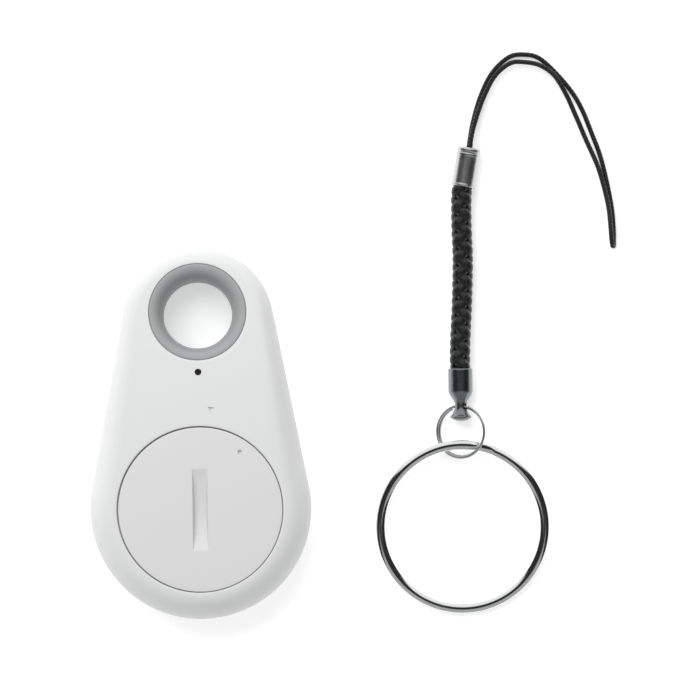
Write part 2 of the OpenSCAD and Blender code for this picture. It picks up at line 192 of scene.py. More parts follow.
tent = bpy.data.worlds.new("tent")
bpy.context.scene.world = tent
tent.use_nodes = True
tent.node_tree.nodes.clear()
sky = Wire(tent.node_tree).node("ShaderNodeTexCoord", out="Generated")
east = sky.node("ShaderNodeSeparateXYZ", None, {"Vector": sky})
north = east.beside("Y")
flat = east.math("SQRT", east * east + north * north)
ends = (north.math("ABSOLUTE", north) / flat).between(0.48, 0.58) * flat.between(0.16, 0.34)
mirrored = 0.03 + ends * (0.5 + 0.65 * north.between(-0.1, 0.1))
lit = 0.76 + 0.14 * north - 0.05 * east
in_mirror = sky.node("ShaderNodeLightPath", out="Is Glossy Ray")
tent_light = lit.node("ShaderNodeBackground", None, {"Strength": lit + (mirrored - lit) * in_mirror})
tent_light.node("ShaderNodeOutputWorld", None, {"Surface": tent_light})

# ---- Braid and loop cord --------------------------------------------------------------------
# Two plaits of waxed black polyester yarn: a thick four-strand braid, crimped at both ends, and
# a thin cord doubled into the loop that passes through the tag. They lie loose on the table.


def eased(points, parts=8):
    """A smooth curve through the points, each stretch of it cut into parts."""
    p = np.array([points[0], *points, points[-1]], float)
    p[0], p[-1] = 2 * p[1] - p[2], 2 * p[-2] - p[-3]
    made = [p[1]]
    for a, b, c, d in zip(p, p[1:], p[2:], p[3:]):
        for t in np.arange(1, parts + 1) / parts:
            made.append(0.5 * (2 * b + (c - a) * t + (2 * a - 5 * b + 4 * c - d) * t * t
                               + (3 * b - 3 * c + d - a) * t ** 3))
    return np.array(made)


def path_curve(points):
    """A bare curve object along points in millimetres, for a tree to start from."""
    curve = bpy.data.curves.new("path", "CURVE")
    curve.dimensions = "3D"
    line = curve.splines.new("POLY")
    line.points.add(len(points) - 1)
    line.points.foreach_set("co", np.c_[np.array(points) * MM, np.ones(len(points))].ravel())
    return placed("path", curve)


def new_tree(name, **sizes):
    """A geometry tree with those named inputs, given as socket kinds, and a wire from each of them."""
    tree = bpy.data.node_groups.new(name, "GeometryNodeTree")
    tree.interface.new_socket("Start", in_out="INPUT", socket_type="NodeSocketGeometry")
    for size, kind in sizes.items():
        tree.interface.new_socket(size, in_out="INPUT", socket_type="NodeSocket" + kind)
    tree.interface.new_socket("Finish", in_out="INPUT", socket_type="NodeSocketMaterial")
    tree.interface.new_socket("Made", in_out="OUTPUT", socket_type="NodeSocketGeometry")
    given = tree.nodes.new("NodeGroupInput")
    return tree, {o.name: Wire(tree, o) for o in given.outputs if o.name}


def close_tree(made, finish):
    """Ends a tree in real faces, smooth and finished."""
    made = made.node("GeometryNodeSetShadeSmooth", None, {"Geometry": made})
    made = made.node("GeometryNodeRealizeInstances", None, {"Geometry": made})
    made = made.node("GeometryNodeSetMaterial", None, {"Geometry": made, "Material": finish})
    made.node("NodeGroupOutput", None, {0: made})


def grown(name, start, tree, **sizes):
    """The plain mesh that a tree makes from a start object, which is used up."""
    modifier = start.modifiers.new("tree", "NODES")
    modifier.node_group = tree
    for socket in tree.interface.items_tree:
        if socket.in_out == "INPUT" and socket.name in sizes:
            size = sizes[socket.name]
            modifier[socket.identifier] = size * MM if isinstance(size, float) else size
    start.update_tag()
    solved = start.evaluated_get(bpy.context.evaluated_depsgraph_get())
    mesh = bpy.data.meshes.new_from_object(solved)
    start.modifiers.remove(modifier)
    bpy.data.objects.remove(start)
    return placed(name, mesh)


# Four strands wind round the path, two each way, and dip under and over where they cross. They
# are squeezed a little within the crimped length at each end.
crimp_before, crimp_after, crimped_share = 0.7 * MM, 0.3 * MM, 0.86
plait, given = new_tree("plait", Lay="Float", Core="Float", Weave="Float", Width="Float", Depth="Float",
                        Step="Float", Crimped="Float")
path = given["Start"].node("GeometryNodeResampleCurve", {"mode": "LENGTH"},
                           {"Curve": given["Start"], "Length": given["Step"]})
path = path.node("GeometryNodeSetCurveNormal", {"mode": "Z_UP"}, {"Curve": path})
along = path.node("GeometryNodeSplineParameter", out="Length")
left = path.node("GeometryNodeCurveLength", None, {"Curve": path}) - along
held = along.math("MINIMUM", along, left)
squeeze = held.node("ShaderNodeMapRange", {"interpolation_type": "SMOOTHSTEP"},
                    {"Value": held, "From Min": given["Crimped"] - crimp_before,
                     "From Max": given["Crimped"] + crimp_after, "To Min": crimped_share,
                     "To Max": 1.0})
path = path.node("GeometryNodeSetCurveRadius", None, {"Curve": path, "Radius": squeeze})
strands = path.node("GeometryNodeDuplicateElements", {"domain": "SPLINE"},
                    {"Geometry": path, "Amount": 4})
strand_no = strands.beside("Duplicate Index")
way = 1 - 2 * strand_no.math("MODULO", strand_no, 2)
pair = strand_no.math("FLOOR", strand_no / 2)
turned_by = along / given["Lay"] * math.tau
angle = way * turned_by + pair * math.pi + math.pi / 4
swing = turned_by.math("COSINE", turned_by * 2)
radius = (given["Core"] + way * given["Weave"] * swing) * squeeze
tangent, normal = path.node("GeometryNodeInputTangent"), path.node("GeometryNodeInputNormal")
third = path.node("ShaderNodeVectorMath", {"operation": "CROSS_PRODUCT"}, {0: tangent, 1: normal})
across = path.node("ShaderNodeVectorMath", {"operation": "SCALE"},
                   {0: normal, "Scale": radius * angle.math("COSINE", angle)})
upward = path.node("ShaderNodeVectorMath", {"operation": "SCALE"},
                   {0: third, "Scale": radius * angle.math("SINE", angle)})
offset = path.node("ShaderNodeVectorMath", {"operation": "ADD"}, {0: across, 1: upward})
strands = path.node("GeometryNodeStoreNamedAttribute", {"data_type": "FLOAT_VECTOR", "domain": "POINT"},
                    {"Geometry": strands, "Name": "outward", "Value": offset})
strands = path.node("GeometryNodeSetPosition", None, {"Geometry": strands, "Offset": offset})
outward = path.node("GeometryNodeInputNamedAttribute", {"data_type": "FLOAT_VECTOR"},
                    {"Name": "outward"})
strands = path.node("GeometryNodeSetCurveNormal", {"mode": "FREE"},
                    {"Curve": strands, "Normal": outward})
strands = path.node("GeometryNodeStoreNamedAttribute", {"data_type": "FLOAT", "domain": "POINT"},
                    {"Geometry": strands, "Name": "along", "Value": along})
yarn = path.node("GeometryNodeCurvePrimitiveCircle", {"mode": "RADIUS"},
                 {"Resolution": 14, "Radius": given["Width"] / 2})
squash = yarn.node("ShaderNodeCombineXYZ", None, {"X": given["Depth"] / given["Width"], "Y": 1, "Z": 1})
yarn = yarn.node("GeometryNodeTransform", None, {"Geometry": yarn, "Scale": squash})
close_tree(path.node("GeometryNodeCurveToMesh", None,
                     {"Curve": strands, "Profile Curve": yarn, "Fill Caps": True,
                      "Scale": path.node("GeometryNodeInputRadius")}), given["Finish"])

waxed_yarn, spot = new_finish("waxed_yarn")
run = spot.node("ShaderNodeAttribute", {"attribute_name": "along"}, out="Fac")
fibres = spot.cloud(5200, 3)
wax = spot.cloud(700)
seal(spot, Base_Color=wax.tone((0.007, 0.008, 0.0085, 1), (0.014, 0.0155, 0.0165, 1)),
     Roughness=0.26 + 0.12 * fibres, Specular_IOR_Level=0.42,
     Normal=(fibres + 0.4 * spot.math("SINE", run * 21000)).bump(0.02))

braid_line = eased([(38.34, 37.35, 1.7), (37.8, 34.4, 1.7), (37.55, 33, 1.7), (37.5, 29, 1.65),
                    (37.6, 24, 1.65), (37.4, 18, 1.65), (37.1, 13, 1.78), (37, 10.5, 1.92),
                    (37, 8.6, 1.95), (37, 5.6, 1.95)])
braid = grown("braid", path_curve(braid_line), plait, Lay=-4.76, Core=0.78, Weave=0.2, Width=1.64,
              Depth=1.26, Step=0.13, Crimped=3.0, Finish=waxed_yarn)

loop_line = eased([
    (38.6, 39.1, 1.4), (38.7, 39.9, 1.35), (38.9, 41.2, 1.3), (39.35, 43.5, 0.95), (40.5, 47.2, 0.5),
    (42.2, 50.5, 0.4), (44.6, 52.7, 0.4), (46.8, 53.05, 0.4), (48.9, 52.5, 0.4), (51.3, 50.3, 0.4),
    (53.5, 47.6, 0.4), (54.9, 45.1, 0.4), (56.15, 41.9, 0.4), (57.4, 38.4, 0.4), (58.3, 34.5, 0.4),
    (58.9, 31, 0.4), (59.1, 28.2, 0.42), (59.1, 26.6, 0.6), (59.08, 25.8, 1.1), (58.95, 25.6, 1.7),
    (58.82, 25.9, 2.2), (58.72, 26.8, 2.5), (58.62, 28.4, 2.4), (58.42, 31, 1.8), (57.85, 33.9, 1.25),
    (56.95, 37.1, 0.95), (55.45, 40.65, 0.6), (54, 44.2, 0.5), (52.6, 47.4, 0.65), (51, 50, 1.2),
    (49, 51.45, 1.2), (46.8, 51.95, 1.1), (44.75, 51.8, 1.1), (42.55, 50, 1.15), (40.85, 46.85, 1.25),
    (39.6, 43.4, 1.7), (39.05, 41.2, 2.05), (38.9, 39.9, 2.1), (38.75, 39.1, 2.0)])
loop = grown("loop", path_curve(loop_line), plait, Lay=-1.1, Core=0.2, Weave=0.035, Width=0.44,
             Depth=0.29, Step=0.08, Crimped=0.0, Finish=waxed_yarn)


for piece, node in ((braid, "braided_cord"), (loop, "loop_cord")):
    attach(piece, "strap")
    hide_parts(node)

# ---- Ferrule and end cap --------------------------------------------------------------------
# Turned fittings on the braid: a plated brass sleeve, crimped over the join of braid and loop,
# and a polished bell that is glued on the other end and drilled across its foot for the ring.

nearly_same = 0.0015


def meshed(name, points, faces, finish, smooth=35):
    """A piece from points in millimetres, its doubles merged and its faces turned outward."""
    made = bmesh.new()
    corners = [made.verts.new(Vector(p) * MM) for p in points]
    for face in faces:
        made.faces.new([corners[i] for i in face])
    bmesh.ops.remove_doubles(made, verts=made.verts, dist=nearly_same * MM)
    bmesh.ops.recalc_face_normals(made, faces=made.faces)
    mesh = bpy.data.meshes.new(name)
    made.to_mesh(mesh)
    made.free()
    mesh.materials.append(finish)
    mesh.shade_smooth()
    mesh.set_sharp_from_angle(angle=math.radians(smooth))
    return placed(name, mesh)


def rows_joined(rows, ring=False):
    """The faces between rows of points that run right round. A ring's last row joins its first."""
    sides = len(rows[0])
    lower = range(len(rows) if ring else len(rows) - 1)
    return [(a * sides + j, a * sides + (j + 1) % sides, (a + 1) % len(rows) * sides + (j + 1) % sides,
             (a + 1) % len(rows) * sides + j) for a in lower for j in range(sides)]


def turned(name, profile, at, axis, finish, sides=96, ring=False, smooth=35):
    """A lathe-turned piece: (radius, height) points swept round an axis.

    A ring's profile closes on itself."""
    frame_of = Vector((0, 0, 1)).rotation_difference(Vector(axis)).to_matrix()
    rows = [[Vector(at) + frame_of @ Vector((r * math.cos(a), r * math.sin(a), h))
             for a in np.arange(sides) * math.tau / sides] for r, h in profile]
    faces = [list(dict.fromkeys(f)) for f in rows_joined(rows, ring)]
    return meshed(name, [p for row in rows for p in row], faces, finish, smooth)


def worked(piece, tools, operation="DIFFERENCE", smooth=35):
    """Cuts the tools out of a piece, or joins them to it, and uses them up."""
    for tool in tools:
        step = piece.modifiers.new("cut", "BOOLEAN")
        step.operation, step.solver, step.object = operation, "EXACT", tool
    solved = piece.evaluated_get(bpy.context.evaluated_depsgraph_get())
    mesh = bpy.data.meshes.new_from_object(solved)
    piece.modifiers.clear()
    piece.data = mesh
    mesh.shade_smooth()
    mesh.set_sharp_from_angle(angle=math.radians(smooth))
    for tool in tools:
        bpy.data.objects.remove(tool)


bright_nickel, spot = new_finish("bright_nickel")
scuffs = spot.cloud(2600)
seal(spot, Base_Color=scuffs.tone((0.78, 0.79, 0.79, 1), (0.86, 0.87, 0.87, 1)), Metallic=1.0,
     Roughness=0.06 + 0.08 * scuffs)

satin_nickel, spot = new_finish("satin_nickel")
scuffs = spot.cloud(1800, 4)
seal(spot, Base_Color=scuffs.tone((0.48, 0.49, 0.49, 1), (0.66, 0.67, 0.66, 1)), Metallic=1.0,
     Roughness=0.24 + 0.14 * scuffs, Normal=scuffs.bump(0.005))

polished_gunmetal, spot = new_finish("polished_gunmetal")
seal(spot, Base_Color=(0.24, 0.255, 0.265, 1), Metallic=1.0, Roughness=0.24 + 0.1 * spot.cloud(1500))

ferrule_foot = Vector((37.8, 34.4, 1.7))
ferrule_way = Vector((0.179, 0.984, 0)).normalized()
ferrule_shape = [(1.46, 0.06), (1.52, 0), (1.62, 0.03), (1.69, 0.12), (1.7, 0.24), (1.66, 0.36),
                 (1.64, 0.44), (1.64, 0.56), (1.64, 4.18), (1.64, 4.3), (1.66, 4.36), (1.69, 4.44),
                 (1.69, 4.68), (1.66, 4.76), (1.6, 4.82), (1.6, 4.92), (1.66, 4.98), (1.69, 5.08),
                 (1.7, 5.24), (1.66, 5.4), (1.58, 5.51), (1.46, 5.57), (1.3, 5.59), (0.95, 5.59),
                 (0.88, 5.55), (0.85, 5.48), (0.85, 5.05), (1.46, 4.7)]
ferrule = turned("ferrule_sleeve", ferrule_shape, ferrule_foot, ferrule_way, satin_nickel, ring=True)
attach(ferrule, "strap")
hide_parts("ferrule")

cap_mouth = Vector((37, 8.6, 1.95))
ring_tilt = math.radians(26.5)
cap_bell = eased([(1.72, 3.3), (1.3, 4.1), (0.95, 4.6), (0.83, 5.1), (0.84, 5.6), (0.95, 6), (1.2, 6.5),
                  (1.42, 6.7), (1.5, 6.85), (1.42, 7), (1.05, 7.25), (0.55, 7.4), (0, 7.45)], 4)
cap_shape = [(0, 3.2), (1.5, 3.2), (1.5, 0.08), (1.56, 0), (1.64, 0.01), (1.7, 0.07), (1.72, 0.16),
             (1.72, 0.3), (1.72, 3.1), *cap_bell[:-1], (0, 7.45)]
end_cap = turned("end_bell", cap_shape, cap_mouth, (0, -1, 0), polished_gunmetal)
eye_r, eye_at = 0.5, (37, 3.2, 1.95)
eye_drill = turned("eye_drill", [(0, -3), (eye_r, -3), (eye_r, 3), (0, 3)], eye_at,
                   (math.cos(ring_tilt), 0, math.sin(ring_tilt)), polished_gunmetal, 32)
worked(end_cap, [eye_drill])
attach(end_cap, "strap")
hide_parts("end_cap")

# ---- Link ring and key ring -----------------------------------------------------------------
# Two split rings of nickelled spring steel: a small one of round wire through the cap's eye, and
# the flat key ring of two turns laid one on the other, with a step where the wire changes turn.

coil, given = new_tree("coil", Width="Float", Height="Float")
section = given["Width"].node("GeometryNodeCurvePrimitiveCircle", {"mode": "RADIUS"},
                              {"Resolution": 20, "Radius": given["Width"] / 2})
squash = section.node("ShaderNodeCombineXYZ", None,
                      {"X": 1, "Y": given["Height"] / given["Width"], "Z": 1})
section = section.node("GeometryNodeTransform", None, {"Geometry": section, "Scale": squash})
wire = section.node("GeometryNodeSetCurveNormal", {"mode": "Z_UP"}, {"Curve": given["Start"]})
close_tree(wire.node("GeometryNodeCurveToMesh", None,
                     {"Curve": wire, "Profile Curve": section, "Fill Caps": True}), given["Finish"])


def split_ring(middle, mean_r, tilt_axis, tilt, first, last, lift, spread, joggle):
    """About two turns, clockwise from first to last in degrees.

    Between the two angles of the joggle they step down by two lifts and in by two spreads."""
    turn = np.radians(np.linspace(first, last, 720))
    step = np.clip((np.radians(joggle[0]) - turn) / np.radians(joggle[0] - joggle[1]), 0, 1)
    swap = np.cos(math.pi * step)
    r = mean_r + spread * swap
    flat = np.c_[r * np.cos(turn), r * np.sin(turn), lift * swap]
    ax, up = np.array(tilt_axis, float), np.array((0, 0, 1.0))
    side = np.cross(up, ax)
    c, s = math.cos(tilt), math.sin(tilt)
    return (np.array(middle) + np.outer(flat @ ax, ax)
            + np.outer((flat @ side) * c - flat[:, 2] * s, side)
            + np.outer((flat @ side) * s + flat[:, 2] * c, up))


link_wire, link_r, link_start, link_sweep = 0.38, 3.6, 70, 676
link_path = split_ring((37, -0.35, 1.95), link_r, (0, 1, 0), -ring_tilt, link_start,
                       link_start - link_sweep, link_wire / 2, 0.08, (-260, -290))
link_ring = grown("link_coil", path_curve(link_path), coil, Width=link_wire, Height=link_wire,
                  Finish=satin_nickel)
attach(link_ring, "link")
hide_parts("link_ring")

key_tilt = math.radians(3.2)
key_r, key_start, key_sweep, key_lift = 11.65, 66, 703, 0.29
key_path = split_ring((37, -13.84, 1.316), key_r, (1, 0, 0), key_tilt, key_start,
                      key_start - key_sweep, key_lift, 0, (-277, -294))
key_ring = grown("key_coil", path_curve(key_path), coil, Width=1.3, Height=0.575,
                 Finish=bright_nickel)
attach(key_ring, "keyring")
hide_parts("key_ring")

# ---- Rear and front shells ------------------------------------------------------------------
# The case is two satin white mouldings that meet at a seam round the middle: a domed rear half
# with the door's well and the strap hole's seat, and a flat front half with the button's opening.

body_at, body_r = np.array((0, -10.6)), 15.6
neck_at, neck_r = np.array((0, 15.5)), 10.7
span = neck_at[1] - body_at[1]
lean = math.asin((body_r - neck_r) / span)
seam_z, groove = 5.2, 0.1
dome_top, dome_r = 11, 200
skin_thick = 0.3
well_r, ledge_r, ledge_low, ledge_top = 11.7, 11.0, 9.1, 9.75
well_soft = 0.13
hole_mid, hole_tilt = np.array((0, 17.2, 9.068)), math.radians(7.99)
seat_r, seat_depth, seat_soft = 6.9, 0.8, 0.06
tube_r, tube_y, tube_long_r = 6.05, 15.93, 6.11
button_r = 6
port_y, port_r = 8.7, 0.475
pipe_y, pipe_r = 2.9, 0.65
mark_out, mark_deep = 14.15, 0.3

satin_white, spot = new_finish("satin_white")
grain = spot.cloud(5000)
seal(spot, Base_Color=spot.cloud(60).tone((0.685, 0.695, 0.69, 1), (0.705, 0.715, 0.71, 1)),
     Roughness=0.42 + 0.08 * grain, Normal=grain.bump(0.004))


def corner_share(x, y, at_neck, at_body):
    """How far in from the outline a place is, from 0 at the edge to 1 where its round corner ends.

    The corner's width goes from one value at the body to another at the neck."""
    x, y = np.abs(x), y - body_at[1]
    run = (y * math.cos(lean) - x * math.sin(lean)) / (span * math.cos(lean))
    inward = np.where(run < 0, body_r - np.hypot(x, y),
                      body_r - x * math.cos(lean) - y * math.sin(lean))
    inward = np.where(run > 1, neck_r - np.hypot(x, y - span), inward)
    return np.clip(inward / (at_body + (at_neck - at_body) * np.clip(run, 0, 1)), 0, 1)


def rear_z(x, y):
    """The height of the domed back, which rounds over to the seam."""
    foot = seam_z + groove
    top = dome_top - (x ** 2 + (y - body_at[1]) ** 2) / (2 * dome_r)
    return foot + (top - foot) * np.sqrt(1 - (1 - corner_share(x, y, 2, 3.6)) ** 2)


def front_z(x, y):
    """The height of the flat front, which rounds up to the seam."""
    return (seam_z - groove) * (1 - np.sqrt(1 - (1 - corner_share(x, y, 3, 4.4)) ** 2))


def in_hole(r, angle, depth):
    """A point in the tilted strap hole, depth being measured down its axis from the dome."""
    away = r * np.sin(angle)
    return hole_mid + np.array((r * np.cos(angle),
                                away * math.cos(hole_tilt) - depth * math.sin(hole_tilt),
                                -away * math.sin(hole_tilt) - depth * math.cos(hole_tilt)))


def arc(middle, r, first, last, count):
    """Rows of x, y and outward x, y along an arc of the outline."""
    turn = np.linspace(first, last, count)
    out = np.c_[np.cos(turn), np.sin(turn)]
    return np.c_[middle + r * out, out]


def shell(name, height, divide_y, body_rows, neck_rows, seam_step):
    """Half the case as one skin.

    Rays run out from both openings to the outline and to a line between them."""
    side_x = (body_r - (divide_y - body_at[1]) * math.sin(lean)) / math.cos(lean)
    out = np.array((math.cos(lean), math.sin(lean)))
    right = np.array((side_x, divide_y, *out))
    body_arc = arc(body_at, body_r, -math.pi - lean, lean, 230)
    neck_arc = arc(neck_at, neck_r, lean, math.pi - lean, 110)
    low = [body_arc[-1] + (right - body_arc[-1]) * t for t in np.linspace(0, 1, 28)]
    high = [right + (neck_arc[0] - right) * t for t in np.linspace(0, 1, 26)]
    flipped = np.array((-1, 1, -1, 1))
    line = [np.array((side_x * math.cos(t), divide_y, 0, 0)) for t in np.linspace(0, math.pi, 60)]
    body_ring = [*body_arc[:-1], *low[:-1], *line[:-1], *[p * flipped for p in low[:0:-1]]]
    neck_ring = [*high[:-1], *neck_arc[:-1], *[p * flipped for p in high[:0:-1]], *line[:0:-1]]
    outline = [*body_arc[:-1], *low[:-1], *high[:-1], *neck_arc[:-1],
               *[p * flipped for p in high[:0:-1]], *[p * flipped for p in low[:0:-1]]]
    points, faces = [], []

    def add(rows):
        faces.extend([[i + len(points) for i in f] for f in rows_joined(rows)])
        points.extend(p for row in rows for p in row)

    share = 1 - np.linspace(1, 0, 28) ** 2
    for ring, opening in ((body_ring, body_rows), (neck_ring, neck_rows)):
        inner = [opening(p[:2]) for p in ring]
        rows = [list(row) for row in zip(*inner)]
        for t in share[1:]:
            flat = [q[-1][:2] * (1 - t) + p[:2] * t for p, q in zip(ring, inner)]
            rows.append([(x, y, float(height(x, y))) for x, y in flat])
        add(rows)
    add([[(p[0] - d * p[2], p[1] - d * p[3], z) for p in outline]
         for d, z in ((0, seam_z + seam_step), (groove, seam_z), (0.8, seam_z))])
    skin = meshed(name, points, faces, satin_white, 30)
    if sum(p.normal.z * p.area for p in skin.data.polygons) * seam_step < 0:
        skin.data.flip_normals()
    wall = skin.modifiers.new("wall", "SOLIDIFY")
    wall.thickness, wall.offset = skin_thick * MM, -1
    return skin


def well_rows(p):
    """The door's well under one ray: ledge, wall and a softened top edge."""
    out = (p - body_at) / np.linalg.norm(p - body_at)
    edge = body_at + out * (well_r + well_soft)
    rim_z = float(rear_z(*edge))
    made = [(*(body_at + out * r), z)
            for r, z in ((ledge_r, ledge_low), (ledge_r, ledge_top), (well_r, ledge_top))]
    made += [(*(body_at + out * (well_r + well_soft * (1 - math.cos(a)))),
              rim_z - well_soft * (1 - math.sin(a))) for a in np.linspace(0, math.pi / 2, 6)]
    return np.array(made)


def seat_rows(p):
    """The liner's seat under one ray, from the tube's hole up to the dome."""
    angle = math.atan2(p[1] - hole_mid[1], p[0])
    depth = 0.1
    for _ in range(8):
        x, y, z = in_hole(seat_r + seat_soft, angle, depth)
        depth += z - float(rear_z(x, y))
    rows = ((tube_r, 2.2), (tube_r, seat_depth), (seat_r, seat_depth), (seat_r, depth + seat_soft),
            (seat_r + 0.02, depth + 0.02), (seat_r + seat_soft, depth))
    return np.array([in_hole(r, angle, d) for r, d in rows])


def button_rows(p):
    """The button's opening under one ray."""
    out = (p - body_at) / np.linalg.norm(p - body_at)
    return np.array([(*(body_at + out * (button_r + g)), z)
                     for g, z in ((0, 1), (0, 0.15), (0.05, 0.04), (0.15, 0))])


def tube_rows(p):
    """The hole for the liner's tube under one ray."""
    angle = math.atan2(p[1] - tube_y, p[0])
    return np.array([((tube_r + g) * math.cos(angle), tube_y + (tube_long_r + g) * math.sin(angle), z)
                     for g, z in ((0, 1), (0, 0.1), (0.03, 0.03), (0.1, 0))])


rear_shell = shell("rear_half", rear_z, 5.7, well_rows, seat_rows, groove)
port_drill = turned("port_drill", [(0, 8), (port_r, 8), (port_r, 12), (0, 12)], (0, port_y, 0),
                    (0, 0, 1), satin_white, 48)
mark_turn = math.radians(-7)
mark = [(x * math.cos(mark_turn) - (y + mark_out) * math.sin(mark_turn),
         x * math.sin(mark_turn) + (y + mark_out) * math.cos(mark_turn) + body_at[1])
        for x, y in ((-0.45, 0.3), (0, -0.45), (0.45, 0.3))]
mark_foot = float(rear_z(*mark[1])) - mark_deep
mark_tool = meshed("mark_tool", [(x, y, z) for z in (mark_foot, 13) for x, y in mark],
                   [(0, 1, 2), (3, 4, 5), (0, 1, 4, 3), (1, 2, 5, 4), (2, 0, 3, 5)], satin_white)
worked(rear_shell, [port_drill, mark_tool], smooth=30)
front_shell = shell("front_half", front_z, 4.5, button_rows, tube_rows, -groove)
pipe_drill = turned("pipe_drill", [(0, -1), (pipe_r, -1), (pipe_r, 2), (0, 2)], (0, pipe_y, 0),
                    (0, 0, 1), satin_white, 48)
worked(front_shell, [pipe_drill], smooth=30)
for piece, node in ((rear_shell, "rear_shell"), (front_shell, "front_shell")):
    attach(piece, "tag")
    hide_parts(node)

# ---- Battery door ---------------------------------------------------------------------------
# A slightly greyer moulded disc that twists out by its coin slot. Its skirt goes down the well,
# and three lugs at the skirt's foot pass under the ledge. A drilled dot marks the locked place.

slot_half, slot_reach, slot_r, floor_z = 1.05, 6.4, 18.2, 10
door_r, door_soft = 11.4, 0.15
dot_out, dot_r, dot_deep = 9.85, 0.28, 0.35
lug_turn, lug_half = (-50, 70, 190), 12
door_at = body_at + (0.05, -0.045)  # play in the well lets it sit a little off the middle

satin_grey, spot = new_finish("satin_grey")
grain = spot.cloud(5000)
seal(spot, Base_Color=spot.cloud(60).tone((0.66, 0.665, 0.66, 1), (0.68, 0.685, 0.68, 1)),
     Roughness=0.42 + 0.08 * grain, Normal=grain.bump(0.004))


def dome_z(r):
    """The dome's height at a radius from its top."""
    return dome_top - r * r / (2 * dome_r)


rim = [(door_r + door_soft * math.sin(a), dome_z(door_r) - door_soft * (1 - math.cos(a)))
       for a in np.linspace(0, math.pi / 2, 6)]
door_shape = [(r, dome_z(r)) for r in np.linspace(0, door_r, 22)[:-1]] + rim
door_shape += [(11.55, 9.8), (10.9, 9.8), (10.9, 8.45), (10.25, 8.45), (10.25, 9.4), (0, 9.4)]
door = turned("door_plate", door_shape, (*door_at, 0), (0, 0, 1), satin_grey, 200, smooth=30)

sections = []
for y in np.linspace(-slot_reach, slot_reach, 81):
    top = dome_z(abs(y))
    floor = floor_z + slot_r - math.sqrt(slot_r ** 2 - y * y)
    knee = max(top - 0.08, floor + 0.01)
    wall = slot_half - 0.22 * min(1, max(0, top - floor))
    side = [(wall - 0.06, floor), (wall, floor + 0.005 + 0.04 * min(1, max(0, top - floor))),
            (slot_half, knee + 0.02), (slot_half + 0.1, knee + 0.1), (slot_half + 0.12, 12)]
    sections.append([(x + door_at[0], y + door_at[1], z)
                     for x, z in side + [(-x, z) for x, z in side[::-1]]])
count = len(sections[0])
last = (len(sections) - 1) * count
slot_faces = rows_joined(sections) + [tuple(range(count)), tuple(range(last, last + count))]
slot_tool = meshed("slot_tool", [p for s in sections for p in s], slot_faces, satin_grey)
dot_at = math.radians(55)
dot_foot = dome_z(dot_out) - dot_deep
dot_drill = turned("dot_drill", [(0, dot_foot), (dot_r, dot_foot), (dot_r, 12), (0, 12)],
                   (door_at[0] + dot_out * math.cos(dot_at),
                    door_at[1] + dot_out * math.sin(dot_at), 0), (0, 0, 1), satin_grey, 32)
worked(door, [slot_tool, dot_drill], smooth=30)
lug_outline = [(10.5, 8.47), (11.45, 8.47), (11.5, 8.52), (11.5, 9), (11.45, 9.05), (10.5, 9.05)]
edges = len(lug_outline)
lugs = []
for heading in lug_turn:
    turns = np.radians(np.linspace(heading - lug_half, heading + lug_half, 25))
    rows = [[(door_at[0] + r * math.cos(a), door_at[1] + r * math.sin(a), z) for a in turns]
            for r, z in lug_outline]
    width = len(turns)
    sides = [(a * width + j, a * width + j + 1, (a + 1) % edges * width + j + 1,
              (a + 1) % edges * width + j) for a in range(edges) for j in range(width - 1)]
    ends = [tuple(a * width + j for a in range(edges)) for j in (0, width - 1)]
    lugs.append(meshed("lug", [p for row in rows for p in row], sides + ends, satin_grey))
worked(door, lugs, "UNION", 30)
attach(door, "door")
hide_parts("battery_door")

# ---- Hole liner and sound mesh --------------------------------------------------------------
# A grey moulded eyelet, pressed through both shells, protects the loop cord at the strap hole.
# Beside it a disc of woven steel wire, glued behind a pinhole, keeps dust out of the buzzer.

satin_slate, spot = new_finish("satin_slate")
grain = spot.cloud(5000)
seal(spot, Base_Color=spot.cloud(60).tone((0.30, 0.32, 0.32, 1), (0.34, 0.355, 0.355, 1)),
     Roughness=0.4 + 0.08 * grain, Normal=grain.bump(0.004))

hole_up = Vector((0, math.sin(hole_tilt), math.cos(hole_tilt)))
sink, liner_foot = 0.147, -11.2
throat_r, flare_out, flare_deep = 4.85, 1.75, 2.8
funnel = [(throat_r + flare_out * (1 - math.cos(a)), -sink - flare_deep * (1 - math.sin(a)))
          for a in np.linspace(math.pi / 2, 0, 22)]
liner_shape = [(6, liner_foot), (6, -0.78), (6.85, -0.78), (6.85, -sink - 0.12), (6.82, -sink - 0.04),
               (6.75, -sink), *funnel, (throat_r, -4.95), (5.45, -8), (5.85, liner_foot)]
liner = turned("eyelet", liner_shape, hole_mid, hole_up, satin_slate, 160, ring=True)
level = 0.1 * MM  # the tilted tube is cut level just above the table
for corner in liner.data.vertices:
    if corner.co.z < level:
        corner.co += hole_up * ((level - corner.co.z) / hole_up.z)
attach(liner, "tag")
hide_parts("hole_liner")

weave, given = new_tree("weave", Pitch="Float", Wire="Float", Reach="Float")
rows_each_side, mesh_r, mesh_z = 3, 0.76, 9.3
wire = given["Start"].node("GeometryNodeResampleCurve", {"mode": "COUNT"},
                           {"Curve": given["Start"], "Count": 33})
wires = wire.node("GeometryNodeDuplicateElements", {"domain": "SPLINE"},
                  {"Geometry": wire, "Amount": 2 * rows_each_side + 1})
row = wires.beside("Duplicate Index") - rows_each_side
side = row * given["Pitch"]
place = wire.node("GeometryNodeInputPosition")
place = place.node("ShaderNodeSeparateXYZ", None, {"Vector": place}, out="X")
chord = side.math("SQRT", given["Reach"] * given["Reach"] - side * side)
x = place / given["Reach"] * chord
wave = (x / given["Pitch"] + row) * math.pi
z = wave.math("COSINE", wave) * given["Wire"] * 0.5
woven = x.node("ShaderNodeCombineXYZ", None, {"X": x, "Y": side, "Z": z})
wires = wire.node("GeometryNodeSetPosition", None, {"Geometry": wires, "Position": woven})
